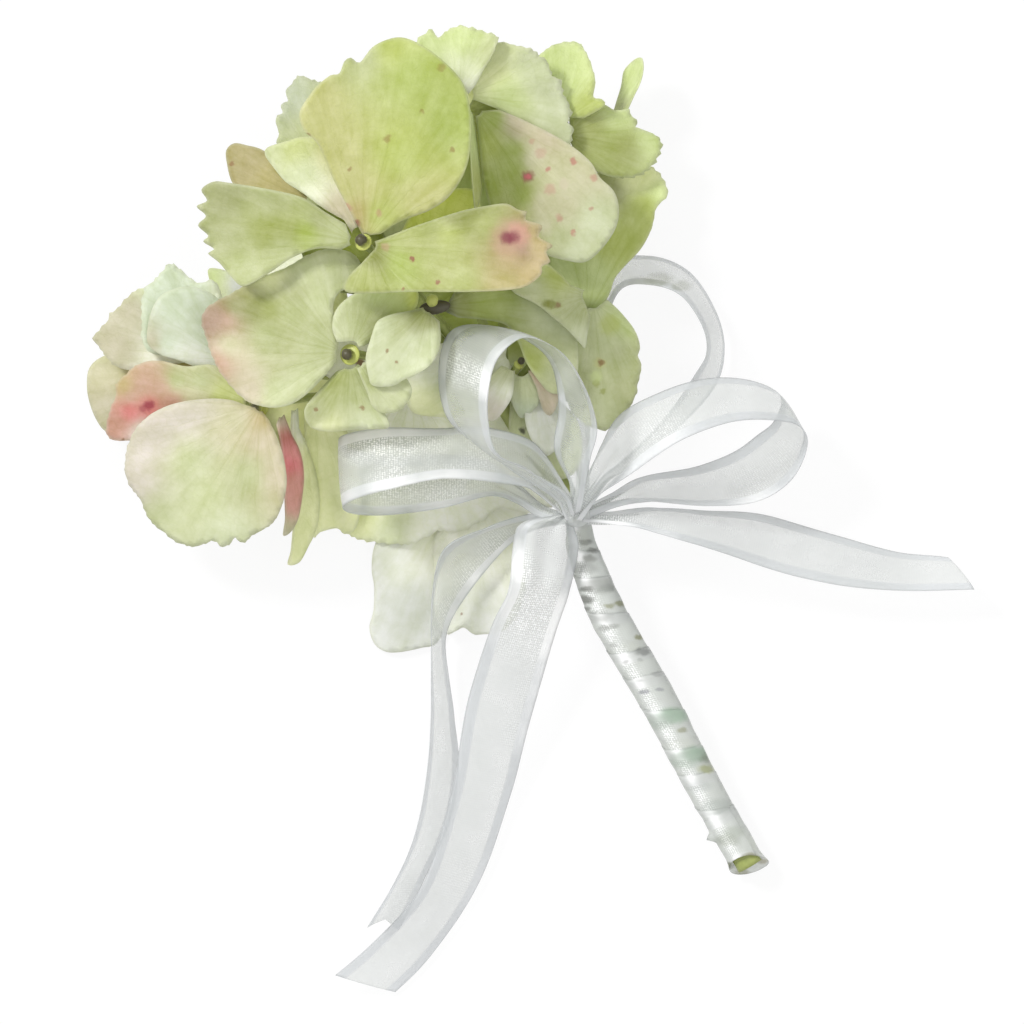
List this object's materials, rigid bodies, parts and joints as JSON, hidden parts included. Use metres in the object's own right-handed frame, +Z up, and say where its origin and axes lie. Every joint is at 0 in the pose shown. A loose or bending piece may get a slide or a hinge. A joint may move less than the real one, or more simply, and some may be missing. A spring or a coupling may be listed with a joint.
{
  "type": "corsage",
  "caption": "Hydrangea corsage with green, cream and pink-tinged florets on a ribbon-wrapped stem, tied with a sheer white organza bow and trailing tails.",
  "frame": {"origin": "middle of the corsage's outline as seen from above, on the surface it lies on", "axes": "+Z up from the surface; +Y from the wrapped stem end towards the flower head; +X towards the single ribbon tail on the right"},
  "size_m": [0.1512, 0.1642, 0.0421],
  "materials": {
    "sepal_lime": "soft, slightly translucent living petal tissue",
    "sepal_pale_green": "soft, slightly translucent living petal tissue",
    "sepal_cream": "soft, slightly translucent living petal tissue",
    "sepal_pink": "soft, slightly translucent living petal tissue",
    "sepal_mint_white": "soft, slightly translucent living petal tissue",
    "sepal_olive": "soft, slightly translucent living petal tissue",
    "ribbon_organza": "sheer woven organza with satin edges",
    "stem_green": "smooth green living stem",
    "binding_wire": "dark green enamelled florist's wire"
  },
  "bodies": {
    "root": {"floret_a_sepal_1": "sepal_lime", "floret_a_sepal_2": "sepal_lime", "floret_a_sepal_3": "sepal_pale_green", "floret_a_sepal_4": "sepal_mint_white", "floret_b_sepal_1": "sepal_pale_green", "floret_b_sepal_2": "sepal_pale_green", "floret_b_sepal_3": "sepal_pale_green", "floret_b_sepal_4": "sepal_cream", "floret_k_sepal_1": "sepal_cream", "floret_k_sepal_2": "sepal_olive", "floret_k_sepal_3": "sepal_olive", "floret_c_sepal_1": "sepal_cream", "floret_c_sepal_2": "sepal_pink", "floret_c_sepal_3": "sepal_pink", "floret_c_sepal_4": "sepal_lime", "floret_l_sepal_1": "sepal_mint_white", "floret_l_sepal_2": "sepal_mint_white", "floret_l_sepal_3": "sepal_cream", "floret_l_sepal_4": "sepal_cream", "floret_g_sepal_1": "sepal_cream", "floret_g_sepal_2": "sepal_mint_white", "floret_d_sepal_1": "sepal_lime", "floret_d_sepal_2": "sepal_pale_green", "floret_d_sepal_3": "sepal_cream", "floret_d_sepal_4": "sepal_olive", "floret_d_sepal_5": "sepal_mint_white", "floret_e_sepal_1": "sepal_lime", "floret_e_sepal_2": "sepal_lime", "floret_e_sepal_3": "sepal_lime", "floret_f_sepal_1": "sepal_lime", "floret_f_sepal_2": "sepal_pale_green", "floret_f_sepal_3": "sepal_pale_green", "floret_n_sepal_1": "sepal_cream", "floret_n_sepal_2": "sepal_pale_green", "floret_n_sepal_3": "sepal_cream", "floret_n_sepal_4": "sepal_pale_green", "floret_n_sepal_5": "sepal_cream", "floret_h_sepal_1": "sepal_pale_green", "floret_h_sepal_2": "sepal_pale_green", "floret_h_sepal_3": "sepal_mint_white", "floret_h_sepal_4": "sepal_mint_white", "floret_i_sepal_1": "sepal_olive", "floret_i_sepal_2": "sepal_olive", "floret_i_sepal_3": "sepal_olive", "floret_i_sepal_4": "sepal_olive", "floret_u_sepal_1": "sepal_pale_green", "floret_u_sepal_2": "sepal_pale_green", "floret_u_sepal_3": "sepal_pale_green", "floret_u_sepal_4": "sepal_pale_green", "bow_loop_left": "ribbon_organza", "bow_loop_upper": "ribbon_organza", "bow_loop_right": "ribbon_organza", "bow_loop_back": "ribbon_organza", "ribbon_tail_front": "ribbon_organza", "ribbon_tail_back": "ribbon_organza", "ribbon_tail_right": "ribbon_organza", "flower_stem": "stem_green", "stem_wrap": "ribbon_organza", "binding_wire": "binding_wire", "bow_knot": "ribbon_organza"}
  },
  "joints": []
}
